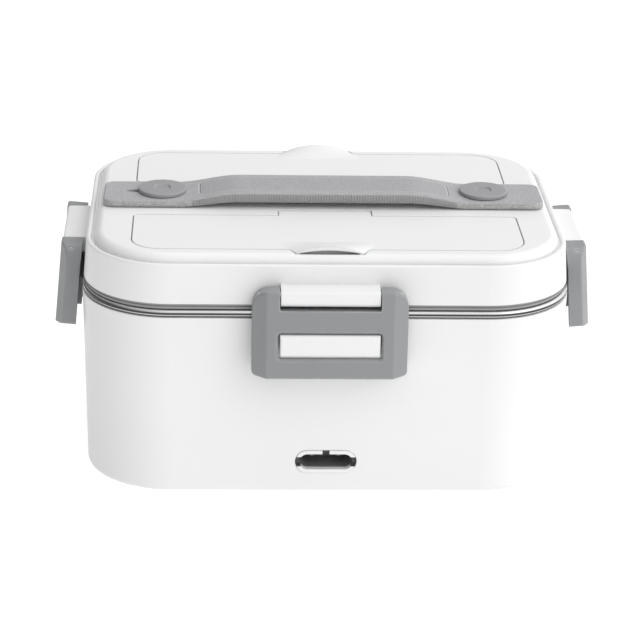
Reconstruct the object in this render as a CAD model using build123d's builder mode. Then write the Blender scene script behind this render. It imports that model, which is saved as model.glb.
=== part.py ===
"""An electric lunch box: heated housing, steel container, latched lid with two flaps and a strap handle.

Frame: +Z up, the front of the box faces -Y, the origin is on the table under the middle of the box.
All lengths are millimetres and all angles are degrees.
"""

from build123d import *
from math import atan, cos, degrees, radians, sin
import os

os.makedirs("parts", exist_ok=True)

# ---------------------------------------------------------------- driving sizes

# Rim: every wall of the box and of the lid follows this outline at an inset of its own
rim_width = 216.0
rim_depth = 160.0
rim_corner = 39.0
rim_bead_radius = 1.55
seat_gap = 0.3

# Housing and bottom cover
foot_height = 1.5
foot_radius = 6.5
housing_height = 83.3
housing_wall = 2.2
housing_draft = 1.5
housing_edge = 2.5
cover_thickness = 2.2
cover_clearance = 0.3
cover_rib = 3.5
cover_rib_inset = 1.0
cover_rib_wall = 1.6
cover_slot_pitch = 13.0
cover_slot_length = 8.0
cover_slot_width = 1.6

# Inner tub
tub_wall = 1.8
tub_clearance = 0.3
tub_flange = 2.2
tub_flange_step = 1.2
tub_floor_top = 24.0
tub_floor = 2.0
tub_draft = 3.3
post_radius = 4.0
screw_radius = 1.4
screw_head_radius = 2.8
screw_head_height = 1.8
screw_tip_gap = 0.5
running_gap = 0.05

# Heating plate and what hangs under it
plate_length = 128.0
plate_depth = 92.0
plate_corner = 22.0
heater_plate_thickness = 2.0
plate_boss_inset = 5.0
plate_boss_height = 3.0
heater_length = 34.0
heater_depth = 22.0
heater_height = 4.5
heater_spacing = 48.0
clamp_thickness = 1.5
clamp_width = 12.0
clamp_screw_reach = 4.5
clamp_screw_space = 4.0
thermostat_radius = 8.0
thermostat_height = 6.0
thermostat_margin = 6.0
tab_spacing = 8.0
tab_length = 3.0
fuse_radius = 2.0
fuse_length = 14.0
fuse_margin = 16.0
wire_radius = 1.0

# Power inlet, centred on the front wall
inlet_height = 16.4
inlet_length = 27.0
inlet_opening = 10.8
inlet_rim = 1.8
inlet_key_width = 3.1
inlet_key_height = 4.6
inlet_proud = 0.5
inlet_depth = 16.0
inlet_wall = 1.6
inlet_clearance = 0.15
socket_back_wall = 2.0
pin_spacing = 12.0
pin_radius = 1.5
pin_length = 8.0
pin_tail = 5.0

# Steel container
steel = 0.7
container_clearance = 0.5
container_draft = 3.2
container_floor_radius = 11.0

# Lid
ring_height = 2.5
ring_inset = 1.5
ring_width = 4.3
ring_lip = 0.6
skirt_height = 17.6
skirt_wall = 2.2
skirt_inset = 0.7
skirt_draft = 1.3
lid_rim_round = 1.0
ledge_drop = 1.4
ledge_thickness = 2.0
ledge_width = 4.6
lid_groove = 1.1
plate_rise = 4.6
plate_round = 4.0
plate_wall = 2.0
inner_plate_thickness = 1.8
collar_depth = 4.4
collar_wall = 1.6
collar_clearance = 0.8
lid_clearance = 0.3

# Flaps on the lid: each closes a shallow well and hinges beside the strap
flap_length = 171.0
flap_front_margin = 13.4
flap_front = rim_depth / 2 - flap_front_margin
flap_back = 23.2
flap_corner = 12.0
flap_back_corner = 2.0
flap_thickness = 1.8
flap_gap = 0.55
flap_seat = 2.2
flap_seat_thickness = 1.5
well_depth = 10.3
well_wall = 1.5
hinge_offset = 17.6
hinge_radius = 2.2
hinge_length = 41.4
hinge_clearance = 0.4
hinge_pin_radius = 0.9
hinge_lug_length = 3.5
lip_chord = 29.0
lip_rise = 3.1
lip_flare = 8.0
lip_reach = 5.0
lip_fade = 9.0
lip_thickness = 1.6

# Strap handle, its buttons and studs
strap_width = 28.0
strap_half_length = 99.9
strap_thickness = 3.1
strap_mid_thickness = 4.4
strap_mid_rise = 3.8
strap_end_corner = 5.0
strap_end_limit = 67.0
strap_grip_half = 15.0
strap_swell_end = 38.0
strap_seat = 0.3
strap_travel = 14.0
stud_offset = 73.3
stud_radius = 2.3
slot_clearance = 0.25
button_radius = 11.0
button_thickness = 1.6
button_recess = 7.4
button_recess_corner = 2.6
button_edge = 0.6
button_skin = 1.2
button_recess_depth = 0.5
stud_post_height = 3.0
stud_screw_length = 8.4

# Latches: the same part on all four walls, hinged in a boss on the lid
boss_length = 42.6
boss_height = 7.0
boss_reach = 9.5
boss_drop = 9.4
boss_lower_round = 2.5
boss_upper_round = 1.0
hinge_out = 5.5
hinge_rise = 6.8
latch_pin_radius = 1.2
latch_pin_length = 62.0
latch_width = 67.2
latch_face_width = 54.6
latch_above = 2.5
latch_below = 36.1
latch_tilt = 5.0
latch_face_out = 4.6
latch_depth = 9.4
latch_bevel = 3.2
latch_wall = 2.6
latch_corner = 7.6
latch_arris = 1.2
latch_top_round = 1.0
latch_foot_bend = 3.0
latch_foot_rise = 1.2
latch_foot_corner = 2.0
latch_gap = 0.4
crossbar_top = 5.8
window_top = 16.0
window_length = 44.6
window_height = 11.4
window_corner = 1.4
window_bevel = 0.9
window_clearance = 0.7
arm_solid = 6.5
latch_lip_depth = 4.5
rib_clearance = 0.3
rib_gap = 0.4
rib_thickness = 2.2
rib_length = 13.0
rib_lead = 1.0

# ---------------------------------------------------------------- heights that follow

housing_top = foot_height + housing_height
bead_centre = housing_top + seat_gap + rim_bead_radius
rim_top = bead_centre + rim_bead_radius
ring_bottom = rim_top + seat_gap
lid_bottom = ring_bottom + ring_height
lid_edge = lid_bottom + skirt_height
ledge_top = lid_edge - ledge_drop
plate_top = ledge_top + plate_rise
flap_bottom = plate_top - flap_thickness
seat_top = flap_bottom - seat_gap
well_floor = flap_bottom - well_depth
tray_top = seat_top - flap_seat_thickness
tray_bottom = well_floor - well_wall
flap_axis_height = plate_top - hinge_radius
hinge_height = lid_bottom + hinge_rise
container_floor = tub_floor_top + heater_plate_thickness + seat_gap
tub_inset = housing_wall + tub_clearance
container_inset = tub_inset + tub_wall + container_clearance
strap_bottom = plate_top + strap_seat
strap_top = strap_bottom + strap_thickness
cover_inset = housing_draft + housing_wall + cover_clearance


# ---------------------------------------------------------------- shared shapes


def outline(inset):
    """The rim outline, drawn in by inset."""
    RectangleRounded(rim_width - 2 * inset, rim_depth - 2 * inset, rim_corner - inset)


def walls(low_z, low_inset, high_z, high_inset, mode=Mode.ADD):
    """A block on the rim outline, whose inset changes evenly from low_z to high_z."""
    with BuildSketch(Plane.XY.offset(low_z)) as base:
        outline(low_inset)
    slope = degrees(atan((high_inset - low_inset) / (high_z - low_z)))
    extrude(base.sketch, amount=high_z - low_z, taper=slope, mode=mode)


def housing_inset(z):
    """How far the housing's outer face stands inside the rim outline at height z."""
    return housing_draft * (housing_top - z) / housing_height


def outward(side):
    """The direction out of the box through one of its four walls."""
    directions = {"front": (0, -1), "back": (0, 1), "left": (-1, 0), "right": (1, 0)}
    return directions[side]


def wall_point(side, out, z):
    """A point on the middle of a wall, out from the rim outline, at height z."""
    x, y = outward(side)
    return ((rim_width / 2 + out) * x, (rim_depth / 2 + out) * y, z)


def section_plane(side, out=0.0, z=0.0, lean=0.0):
    """A plane across a wall: x outward (and up by lean), y up, normal along the wall."""
    x, y = outward(side)
    x_axis = (x * cos(radians(lean)), y * cos(radians(lean)), sin(radians(lean)))
    return Plane(origin=wall_point(side, out, z), x_dir=x_axis, z_dir=(y, -x, 0))


def latch_plane(side):
    """A latch's own plane: origin on its hinge, x along the wall, y up the latch, z out."""
    x, y = outward(side)
    lean = radians(latch_tilt)
    return Plane(
        origin=wall_point(side, hinge_out, hinge_height),
        x_dir=(-y, x, 0),
        z_dir=(x * cos(lean), y * cos(lean), sin(lean)),
    )


def lean_out(below_hinge):
    """How far out of the rim outline the latch's face is, at a height below its hinge."""
    lean = radians(latch_tilt)
    return hinge_out + latch_face_out / cos(lean) + below_hinge * sin(lean) / cos(lean)


sides = ("front", "back", "left", "right")

# ---------------------------------------------------------------- outer housing

lug_round = 1.0
lug_length = window_length - 2 * window_clearance
window_middle = window_top + window_height / 2
lug_drop = window_middle * cos(radians(latch_tilt)) - latch_face_out * sin(radians(latch_tilt))
lug_middle_z = hinge_height - lug_drop
lug_height = window_height - 2 * window_clearance
lug_reach = lean_out(window_middle) - 0.3


def inlet_plane(out=0.0):
    """The front wall's plane at the inlet: x to the right, y up, normal outward."""
    z = inlet_height
    return Plane(origin=(0, -rim_depth / 2 + housing_inset(z) - out, z), x_dir=(1, 0, 0), z_dir=(0, -1, 0))


with BuildPart() as outer_housing:
    walls(foot_height, housing_draft, housing_top, 0.0)
    bottom_edges = outer_housing.faces().sort_by(Axis.Z)[0].edges()
    fillet(bottom_edges, radius=housing_edge)
    for side in sides:
        with BuildSketch(section_plane(side)):
            with Locations((lug_reach / 2 - housing_wall / 2, lug_middle_z)):
                Rectangle(lug_reach + housing_wall, lug_height)
        extrude(amount=lug_length / 2, both=True)
        lug_face = outer_housing.faces().sort_by(Axis((0, 0, 0), (*outward(side), 0)))[-1]
        fillet(lug_face.edges(), radius=lug_round)
    walls(foot_height, housing_draft + housing_wall, housing_top, housing_wall, mode=Mode.SUBTRACT)
    step_z = housing_top - tub_flange
    step_inset = tub_inset - tub_flange_step
    walls(step_z, step_inset, housing_top, step_inset, mode=Mode.SUBTRACT)
    with BuildSketch(inlet_plane(out=housing_wall)):
        SlotOverall(inlet_length + 2 * inlet_clearance, inlet_opening + 2 * inlet_clearance)
    extrude(amount=-3 * housing_wall, mode=Mode.SUBTRACT)

outer_housing.part.label = "outer_housing"
export_step(outer_housing.part, "parts/outer_housing.step")

# ---------------------------------------------------------------- bottom cover, feet, screws

cover_screw_spacing = (160.0, 104.0)
foot_spacing = (172.0, 76.0)
cover_top = foot_height + cover_thickness

with BuildPart() as bottom_cover:
    walls(foot_height, cover_inset, cover_top, cover_inset)
    rib_outer = cover_inset + cover_rib_inset
    rib_inner = rib_outer + cover_rib_wall
    walls(cover_top, rib_outer, cover_top + cover_rib, rib_outer)
    walls(cover_top, rib_inner, cover_top + cover_rib, rib_inner, mode=Mode.SUBTRACT)
    with BuildSketch(Plane.XY.offset(cover_top)):
        with GridLocations(cover_slot_pitch, cover_slot_pitch, 6, 3):
            SlotOverall(cover_slot_length, cover_slot_width, rotation=90)
    extrude(amount=-cover_thickness, mode=Mode.SUBTRACT)
    with Locations(Plane.XY.offset(foot_height)):
        with GridLocations(*cover_screw_spacing, 2, 2):
            Cylinder(
                screw_head_radius + cover_clearance,
                screw_head_height,
                align=(Align.CENTER, Align.CENTER, Align.MIN),
                mode=Mode.SUBTRACT,
            )
            Cylinder(
                screw_radius + running_gap,
                cover_thickness,
                align=(Align.CENTER, Align.CENTER, Align.MIN),
                mode=Mode.SUBTRACT,
            )

bottom_cover.part.label = "bottom_cover"
export_step(bottom_cover.part, "parts/bottom_cover.step")

with BuildPart() as rubber_feet:
    with BuildSketch():
        with GridLocations(*foot_spacing, 2, 2):
            Circle(foot_radius)
    extrude(amount=foot_height)
    chamfer(rubber_feet.faces().group_by(Axis.Z)[0].edges(), length=0.5)

rubber_feet.part.label = "rubber_feet"
export_step(rubber_feet.part, "parts/rubber_feet.step")

cover_screw_length = 10.0
with BuildPart() as cover_screws:
    with BuildSketch(Plane.XY.offset(foot_height)):
        with GridLocations(*cover_screw_spacing, 2, 2):
            Circle(screw_head_radius)
    extrude(amount=screw_head_height)
    with BuildSketch(Plane.XY.offset(foot_height + screw_head_height)):
        with GridLocations(*cover_screw_spacing, 2, 2):
            Circle(screw_radius)
    extrude(amount=cover_screw_length)

cover_screws.part.label = "cover_screws"
export_step(cover_screws.part, "parts/cover_screws.step")

# ---------------------------------------------------------------- inner tub

tub_floor_bottom = tub_floor_top - tub_floor
post_bottom = cover_top

with BuildPart() as inner_tub:
    walls(tub_floor_bottom, tub_inset + tub_draft, housing_top, tub_inset)
    walls(step_z, step_inset + tub_clearance, housing_top, step_inset + tub_clearance)
    hollow_inset = tub_inset + tub_wall
    walls(tub_floor_top, hollow_inset + tub_draft, housing_top, hollow_inset, mode=Mode.SUBTRACT)
    with BuildSketch(Plane.XY.offset(tub_floor_bottom)):
        with GridLocations(*cover_screw_spacing, 2, 2):
            Circle(post_radius)
    extrude(amount=post_bottom - tub_floor_bottom)
    with BuildSketch(Plane.XY.offset(post_bottom)):
        with GridLocations(*cover_screw_spacing, 2, 2):
            Circle(screw_radius + running_gap)
    extrude(amount=cover_screw_length, mode=Mode.SUBTRACT)
    with BuildSketch(Plane.XY.offset(tub_floor_top)):
        RectangleRounded(
            plate_length - 2 * plate_boss_inset + 1.0,
            plate_depth - 2 * plate_boss_inset + 1.0,
            plate_corner - plate_boss_inset,
        )
    extrude(amount=-tub_floor, mode=Mode.SUBTRACT)

inner_tub.part.label = "inner_tub"
export_step(inner_tub.part, "parts/inner_tub.step")

# ---------------------------------------------------------------- heating plate and its parts

plate_underside = tub_floor_top - plate_boss_height
clamp_screw_x = heater_spacing / 2 + heater_length / 2 + clamp_screw_space

with BuildPart() as heating_plate:
    with BuildSketch(Plane.XY.offset(tub_floor_top)):
        RectangleRounded(plate_length, plate_depth, plate_corner)
    extrude(amount=heater_plate_thickness)
    fillet(heating_plate.faces().sort_by(Axis.Z)[-1].edges(), radius=0.8)
    with BuildSketch(Plane.XY.offset(tub_floor_top)):
        RectangleRounded(
            plate_length - 2 * plate_boss_inset,
            plate_depth - 2 * plate_boss_inset,
            plate_corner - plate_boss_inset,
        )
    extrude(amount=-plate_boss_height)
    with BuildSketch(Plane.XY.offset(plate_underside)):
        with Locations((-clamp_screw_x, 0), (clamp_screw_x, 0)):
            Circle(post_radius)
    extrude(amount=-heater_height)
    with BuildSketch(Plane.XY.offset(plate_underside - heater_height)):
        with Locations((-clamp_screw_x, 0), (clamp_screw_x, 0)):
            Circle(screw_radius + running_gap)
    extrude(amount=clamp_screw_reach + screw_tip_gap, mode=Mode.SUBTRACT)

heating_plate.part.label = "heating_plate"
export_step(heating_plate.part, "parts/heating_plate.step")

with BuildPart() as heater_elements:
    with BuildSketch(Plane.XY.offset(plate_underside)):
        with GridLocations(heater_spacing, 0, 2, 1):
            RectangleRounded(heater_length, heater_depth, 1.5)
    extrude(amount=-heater_height)

heater_elements.part.label = "heater_elements"
export_step(heater_elements.part, "parts/heater_elements.step")

clamp_top = plate_underside - heater_height
with BuildPart() as heater_clamp:
    with BuildSketch(Plane.XY.offset(clamp_top)):
        SlotCenterToCenter(2 * clamp_screw_x, clamp_width)
        with Locations((-clamp_screw_x, 0), (clamp_screw_x, 0)):
            Circle(screw_radius + running_gap, mode=Mode.SUBTRACT)
    extrude(amount=-clamp_thickness)

heater_clamp.part.label = "heater_clamp"
export_step(heater_clamp.part, "parts/heater_clamp.step")

with BuildPart() as clamp_screws:
    with BuildSketch(Plane.XY.offset(clamp_top - clamp_thickness)):
        with Locations((-clamp_screw_x, 0), (clamp_screw_x, 0)):
            Circle(screw_head_radius)
    extrude(amount=-screw_head_height)
    with BuildSketch(Plane.XY.offset(clamp_top - clamp_thickness)):
        with Locations((-clamp_screw_x, 0), (clamp_screw_x, 0)):
            Circle(screw_radius)
    extrude(amount=clamp_thickness + clamp_screw_reach)

clamp_screws.part.label = "clamp_screws"
export_step(clamp_screws.part, "parts/clamp_screws.step")

thermostat_y = plate_depth / 2 - plate_boss_inset - thermostat_radius - thermostat_margin
with BuildPart() as thermostat:
    with BuildSketch(Plane.XY.offset(plate_underside)):
        with Locations((0, thermostat_y)):
            Circle(thermostat_radius)
    extrude(amount=-thermostat_height)
    with BuildSketch(Plane.XY.offset(plate_underside - thermostat_height)):
        with Locations((0, thermostat_y)):
            with GridLocations(tab_spacing, 0, 2, 1):
                Rectangle(0.8, 4.0)
    extrude(amount=-tab_length)

thermostat.part.label = "thermostat"
export_step(thermostat.part, "parts/thermostat.step")

fuse_y = plate_boss_inset + fuse_margin - plate_depth / 2
fuse_z = plate_underside - fuse_radius - 0.2
with BuildPart() as thermal_fuse:
    with BuildSketch(Plane.YZ.offset(-fuse_length / 2)):
        with Locations((fuse_y, fuse_z)):
            Circle(fuse_radius)
    extrude(amount=fuse_length)

thermal_fuse.part.label = "thermal_fuse"
export_step(thermal_fuse.part, "parts/thermal_fuse.step")

# ---------------------------------------------------------------- power inlet

socket_length = inlet_length - 2 * inlet_rim + 2 * inlet_wall
socket_height = inlet_opening - 2 * inlet_rim + 2 * inlet_wall
bezel_depth = 2.4
pin_z = inlet_height
socket_back = -rim_depth / 2 + housing_inset(inlet_height) + inlet_depth

with BuildPart() as inlet_bezel:
    with BuildSketch(inlet_plane(out=inlet_proud)):
        SlotOverall(inlet_length, inlet_opening)
        SlotOverall(inlet_length - 2 * inlet_rim, inlet_opening - 2 * inlet_rim, mode=Mode.SUBTRACT)
    extrude(amount=-(bezel_depth + inlet_proud))
    fillet(inlet_bezel.faces().sort_by(Axis.Y)[0].edges(), radius=0.4)
    # Keyways: one in the middle of the top and one at each end
    with BuildSketch(inlet_plane(out=inlet_proud)):
        with Locations((0, inlet_opening / 2)):
            Rectangle(inlet_key_width, 2 * inlet_rim + inlet_proud)
        Rectangle(inlet_length + inlet_rim, inlet_key_height)
    extrude(amount=-bezel_depth, mode=Mode.SUBTRACT)

inlet_bezel.part.label = "inlet_bezel"
export_step(inlet_bezel.part, "parts/inlet_bezel.step")

with BuildPart() as inlet_socket:
    with BuildSketch(inlet_plane(out=-bezel_depth)):
        SlotOverall(socket_length, socket_height)
    extrude(amount=-(inlet_depth - bezel_depth))
    with BuildSketch(inlet_plane(out=-bezel_depth)):
        SlotOverall(inlet_length - 2 * inlet_rim, inlet_opening - 2 * inlet_rim)
    extrude(amount=-(inlet_depth - bezel_depth - socket_back_wall), mode=Mode.SUBTRACT)
    with BuildSketch(inlet_plane(out=-inlet_depth)):
        with GridLocations(pin_spacing, 0, 2, 1):
            Circle(pin_radius + running_gap)
    extrude(amount=socket_back_wall, mode=Mode.SUBTRACT)

inlet_socket.part.label = "inlet_socket"
export_step(inlet_socket.part, "parts/inlet_socket.step")

with BuildPart() as inlet_pins:
    with BuildSketch(inlet_plane(out=-inlet_depth - pin_tail)):
        with GridLocations(pin_spacing, 0, 2, 1):
            Circle(pin_radius)
    extrude(amount=pin_tail + pin_length)
    fillet(inlet_pins.faces().group_by(Axis.Y)[0].edges(), radius=0.7)

inlet_pins.part.label = "inlet_pins"
export_step(inlet_pins.part, "parts/inlet_pins.step")

# Wires: each route is straight runs joined by bends, from the inlet pins to the heater parts
wire_start_y = socket_back + pin_tail
wire_z = pin_z
wire_bend = 3.5
wire_lead = 9.0
wire_routes = (
    (
        (-pin_spacing / 2, wire_start_y + 0.2, wire_z),
        (-pin_spacing / 2, wire_start_y + wire_lead, wire_z),
        (-20.0, fuse_y - 2.0, wire_z - 3.0),
        (-20.0, fuse_y + 6.0, fuse_z - 9.0),
        (-heater_spacing / 2 - 6.0, -heater_depth / 2 - 3.2, fuse_z - 8.0),
    ),
    (
        (pin_spacing / 2, wire_start_y + 0.2, wire_z),
        (pin_spacing / 2, wire_start_y + wire_lead, wire_z),
        (14.0, fuse_y + 4.0, wire_z - 5.0),
        (13.0, 14.0, wire_z - 7.0),
        (4.0, thermostat_y - 1.0, wire_z - 8.0),
    ),
)

with BuildPart() as internal_wires:
    for route in wire_routes:
        with BuildLine() as wire_path:
            FilletPolyline(*route, radius=wire_bend)
        with BuildSketch(Plane(origin=route[0], z_dir=(0, 1, 0))) as wire_section:
            Circle(wire_radius)
        sweep(wire_section.sketch, path=wire_path.line)

internal_wires.part.label = "internal_wires"
export_step(internal_wires.part, "parts/internal_wires.step")

# ---------------------------------------------------------------- steel container

flange_top = rim_top
hollow_floor = container_floor + steel

with BuildPart() as container_hollow:
    walls(hollow_floor, container_inset + container_draft + steel, flange_top + 1.0, container_inset + steel)
    fillet(container_hollow.faces().sort_by(Axis.Z)[0].edges(), radius=container_floor_radius - steel)

with BuildPart() as steel_container:
    walls(container_floor, container_inset + container_draft, flange_top, container_inset)
    fillet(steel_container.faces().sort_by(Axis.Z)[0].edges(), radius=container_floor_radius)
    walls(flange_top - steel, rim_bead_radius, flange_top, rim_bead_radius)
    add(container_hollow.part, mode=Mode.SUBTRACT)
    with BuildSketch(Plane.XY.offset(bead_centre)) as bead_line:
        outline(rim_bead_radius)
    bead_path = bead_line.sketch.faces()[0].outer_wire()
    bead_start = (0, rim_bead_radius - rim_depth / 2, bead_centre)
    with BuildSketch(Plane(origin=bead_start, z_dir=(1, 0, 0))) as bead:
        Circle(rim_bead_radius)
    sweep(bead.sketch, path=bead_path)

steel_container.part.label = "steel_container"
export_step(steel_container.part, "parts/steel_container.step")

# ---------------------------------------------------------------- lid shell: skirt, rim and latch bosses

ledge_inset = skirt_inset + skirt_draft + skirt_wall
plate_inset = ledge_inset + lid_groove
boss_top = lid_bottom + boss_drop
boss_root = skirt_inset + skirt_wall / 2


def skirt_at(z):
    """How far the skirt's outer face stands inside the rim outline at height z."""
    return skirt_inset + skirt_draft * (z - lid_bottom) / skirt_height


def pin_hole(side, half_length, mode=Mode.SUBTRACT):
    """A latch pin's hole, along the wall through the hinge axis."""
    with BuildSketch(section_plane(side, hinge_out, hinge_height)) as hole:
        Circle(latch_pin_radius + running_gap)
    extrude(hole.sketch, amount=half_length, both=True, mode=mode)


ledge_bottom = ledge_top - ledge_thickness
with BuildPart() as lid_shell:
    walls(lid_bottom, skirt_inset, lid_edge, skirt_at(lid_edge))
    for side in sides:
        with BuildSketch(section_plane(side)) as boss_section:
            with Locations(((boss_reach - boss_root) / 2, boss_top - boss_height / 2)):
                Rectangle(boss_reach + boss_root, boss_height)
            boss_corners = boss_section.vertices().group_by(Axis.X)[-1].sort_by(Axis.Y)
            fillet(boss_corners[0], radius=boss_lower_round)
            boss_corners = boss_section.vertices().group_by(Axis.X)[-1].sort_by(Axis.Y)
            fillet(boss_corners[-1], radius=boss_upper_round)
        extrude(amount=boss_length / 2, both=True)
        pin_hole(side, boss_length)
    low_inset = skirt_inset + skirt_wall
    high_inset = skirt_at(ledge_bottom) + skirt_wall
    walls(lid_bottom, low_inset, ledge_bottom, high_inset, mode=Mode.SUBTRACT)
    walls(ledge_top, ledge_inset, lid_edge, ledge_inset, mode=Mode.SUBTRACT)
    walls(ledge_bottom, ledge_inset + ledge_width, ledge_top, ledge_inset + ledge_width, mode=Mode.SUBTRACT)
    fillet(lid_shell.faces().sort_by(Axis.Z)[-1].edges(), radius=lid_rim_round)

lid_shell.part.label = "lid_shell"
export_step(lid_shell.part, "parts/lid_shell.step")

# ---------------------------------------------------------------- lid inner plate and sealing ring

inner_plate_top = lid_bottom + inner_plate_thickness
inner_plate_inset = skirt_inset + skirt_wall + lid_clearance
collar_inset = container_inset + steel + collar_clearance
collar_bottom = lid_bottom - collar_depth
lid_post_places = ((-92.0, 0.0), (-44.0, 0.0), (44.0, 0.0), (92.0, 0.0))
lid_post_radius = 3.6
vent_place = (66.0, 44.0)
lid_screw_length = 9.0
vent_radius = 3.0

with BuildPart() as lid_inner_plate:
    walls(lid_bottom, inner_plate_inset, inner_plate_top, inner_plate_inset)
    walls(collar_bottom, collar_inset, lid_bottom, collar_inset)
    collar_inner = collar_inset + collar_wall
    walls(collar_bottom, collar_inner, lid_bottom, collar_inner, mode=Mode.SUBTRACT)
    with BuildSketch(Plane.XY.offset(inner_plate_top)):
        with Locations(*lid_post_places):
            Circle(screw_radius + running_gap)
        with Locations(vent_place):
            Circle(vent_radius)
    extrude(amount=-inner_plate_thickness, mode=Mode.SUBTRACT)

lid_inner_plate.part.label = "lid_inner_plate"
export_step(lid_inner_plate.part, "parts/lid_inner_plate.step")

with BuildPart() as sealing_ring:
    with BuildSketch(Plane.XY.offset(ring_bottom + ring_height / 2)) as ring_line:
        outline(ring_inset + ring_lip)
    ring_path = ring_line.sketch.faces()[0].outer_wire()
    ring_start = (0, ring_inset + ring_lip - rim_depth / 2, ring_bottom)
    with BuildSketch(Plane(origin=ring_start, x_dir=(0, 1, 0), z_dir=(1, 0, 0))) as ring_section:
        with BuildLine():
            Polyline(
                (-ring_lip, ring_height),
                (-ring_lip, ring_height * 0.62),
                (0, ring_height * 0.5),
                (-ring_lip, ring_height * 0.38),
                (-ring_lip, 0),
                (ring_width - ring_lip, 0),
                (ring_width - ring_lip, ring_height),
                (-ring_lip, ring_height),
            )
        make_face()
    sweep(ring_section.sketch, path=ring_path)

sealing_ring.part.label = "sealing_ring"
export_step(sealing_ring.part, "parts/sealing_ring.step")

# ---------------------------------------------------------------- lid top plate and the two trays under it

plate_side_inset = plate_inset + plate_wall
lip_end = flap_front + lip_reach
lip_half = lip_chord / 2
lip_root_half = lip_half + lip_flare * lip_reach / (lip_reach + lip_fade)
scoop_floor = ledge_top + well_wall
hinge_notch_back = hinge_offset - hinge_radius - hinge_clearance
hinge_notch_floor = flap_axis_height - hinge_radius - hinge_clearance
hinge_notch_length = hinge_length + 2 * flap_gap
hinge_pin_half = hinge_notch_length / 2 + hinge_lug_length - 1.5
pin_end_gap = 0.3


def flap_outline(z, grow, facing):
    """The flap's outline at height z, grown by grow: facing -1 is the front flap and 1 the rear one."""
    half = flap_length / 2 + grow
    front = facing * (flap_front + grow)
    back = facing * (flap_back - grow)
    front_round = flap_corner + grow
    back_round = max(flap_back_corner + grow, flap_back_corner / 4)
    rounds = (front_round, front_round, back_round, back_round)
    with BuildSketch(Plane.XY.offset(z)) as shape:
        with BuildLine():
            FilletPolyline(
                (-half, front), (half, front), (half, back), (-half, back), radius=rounds, close=True
            )
        make_face()
    return shape.sketch


def scoop_outline(z, grow, facing):
    """The lip's outline in front of the flap at height z, grown by grow."""
    front = facing * (lip_end + grow)
    root = facing * (flap_front - grow)
    with BuildSketch(Plane.XY.offset(z)) as shape:
        with BuildLine():
            Polyline(
                (-lip_half - grow, front),
                (lip_half + grow, front),
                (lip_root_half + grow, root),
                (-lip_root_half - grow, root),
                close=True,
            )
        make_face()
    return shape.sketch


with BuildPart() as lid_top_plate:
    walls(ledge_top, plate_inset, plate_top, plate_inset)
    fillet(lid_top_plate.faces().sort_by(Axis.Z)[-1].edges(), radius=plate_round)
    walls(ledge_top, plate_side_inset, plate_top - plate_wall, plate_side_inset, mode=Mode.SUBTRACT)
    for facing in (-1, 1):
        # Blocks under the plate: the flap's seat, the hinge's block and the scoop's
        seat = flap_outline(seat_top - flap_seat_thickness, flap_gap + well_wall, facing)
        extrude(seat, amount=plate_top - seat_top)
        notch_middle = facing * (flap_back + hinge_notch_back) / 2
        notch_depth = flap_back - hinge_notch_back
        with BuildSketch(Plane.XY.offset(hinge_notch_floor - well_wall)) as hinge_block:
            with Locations((0, notch_middle)):
                Rectangle(hinge_notch_length + 2 * hinge_lug_length, notch_depth + 2 * well_wall)
        extrude(hinge_block.sketch, amount=plate_top - plate_wall - hinge_notch_floor + well_wall)
        scoop_block = scoop_outline(scoop_floor - well_wall, flap_gap + well_wall, facing)
        extrude(scoop_block, amount=plate_top - plate_wall - scoop_floor + well_wall)
        # Hollows: the flap's recess, the well and the room for its tray, then the hinge's and the scoop's
        extrude(flap_outline(seat_top, flap_gap, facing), amount=plate_top, mode=Mode.SUBTRACT)
        extrude(flap_outline(tray_top, -flap_seat, facing), amount=plate_top, mode=Mode.SUBTRACT)
        tray_room = flap_outline(tray_bottom, well_wall - flap_seat, facing)
        extrude(tray_room, amount=tray_top - tray_bottom, mode=Mode.SUBTRACT)
        with BuildSketch(Plane.XY.offset(hinge_notch_floor)) as notch:
            with Locations((0, notch_middle)):
                Rectangle(hinge_notch_length, notch_depth)
        extrude(notch.sketch, amount=plate_top, mode=Mode.SUBTRACT)
        with BuildSketch(Plane.YZ) as pin_bore:
            with Locations((facing * hinge_offset, flap_axis_height)):
                Circle(hinge_pin_radius + running_gap)
        extrude(pin_bore.sketch, amount=hinge_pin_half + pin_end_gap, both=True, mode=Mode.SUBTRACT)
        extrude(scoop_outline(scoop_floor, flap_gap, facing), amount=plate_top, mode=Mode.SUBTRACT)
    # Posts for the screws from the inner plate, and for the screws of the strap's studs
    with BuildSketch(Plane.XY.offset(plate_top - plate_wall)) as posts:
        with Locations(*lid_post_places):
            Circle(lid_post_radius)
    extrude(posts.sketch, amount=inner_plate_top - plate_top + plate_wall)
    with BuildSketch(Plane.XY.offset(inner_plate_top)) as post_holes:
        with Locations(*lid_post_places):
            Circle(screw_radius + running_gap)
    extrude(post_holes.sketch, amount=lid_screw_length, mode=Mode.SUBTRACT)
    with BuildSketch(Plane.XY.offset(plate_top - plate_wall)) as stud_posts:
        with Locations((-stud_offset, 0), (stud_offset, 0)):
            Circle(lid_post_radius)
    extrude(stud_posts.sketch, amount=-stud_post_height)
    with BuildSketch(Plane.XY.offset(plate_top)) as stud_holes:
        with Locations((-stud_offset, 0), (stud_offset, 0)):
            Circle(screw_radius + running_gap)
    extrude(stud_holes.sketch, amount=-plate_wall - stud_post_height, mode=Mode.SUBTRACT)

lid_top_plate.part.label = "lid_top_plate"
export_step(lid_top_plate.part, "parts/lid_top_plate.step")

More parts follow.
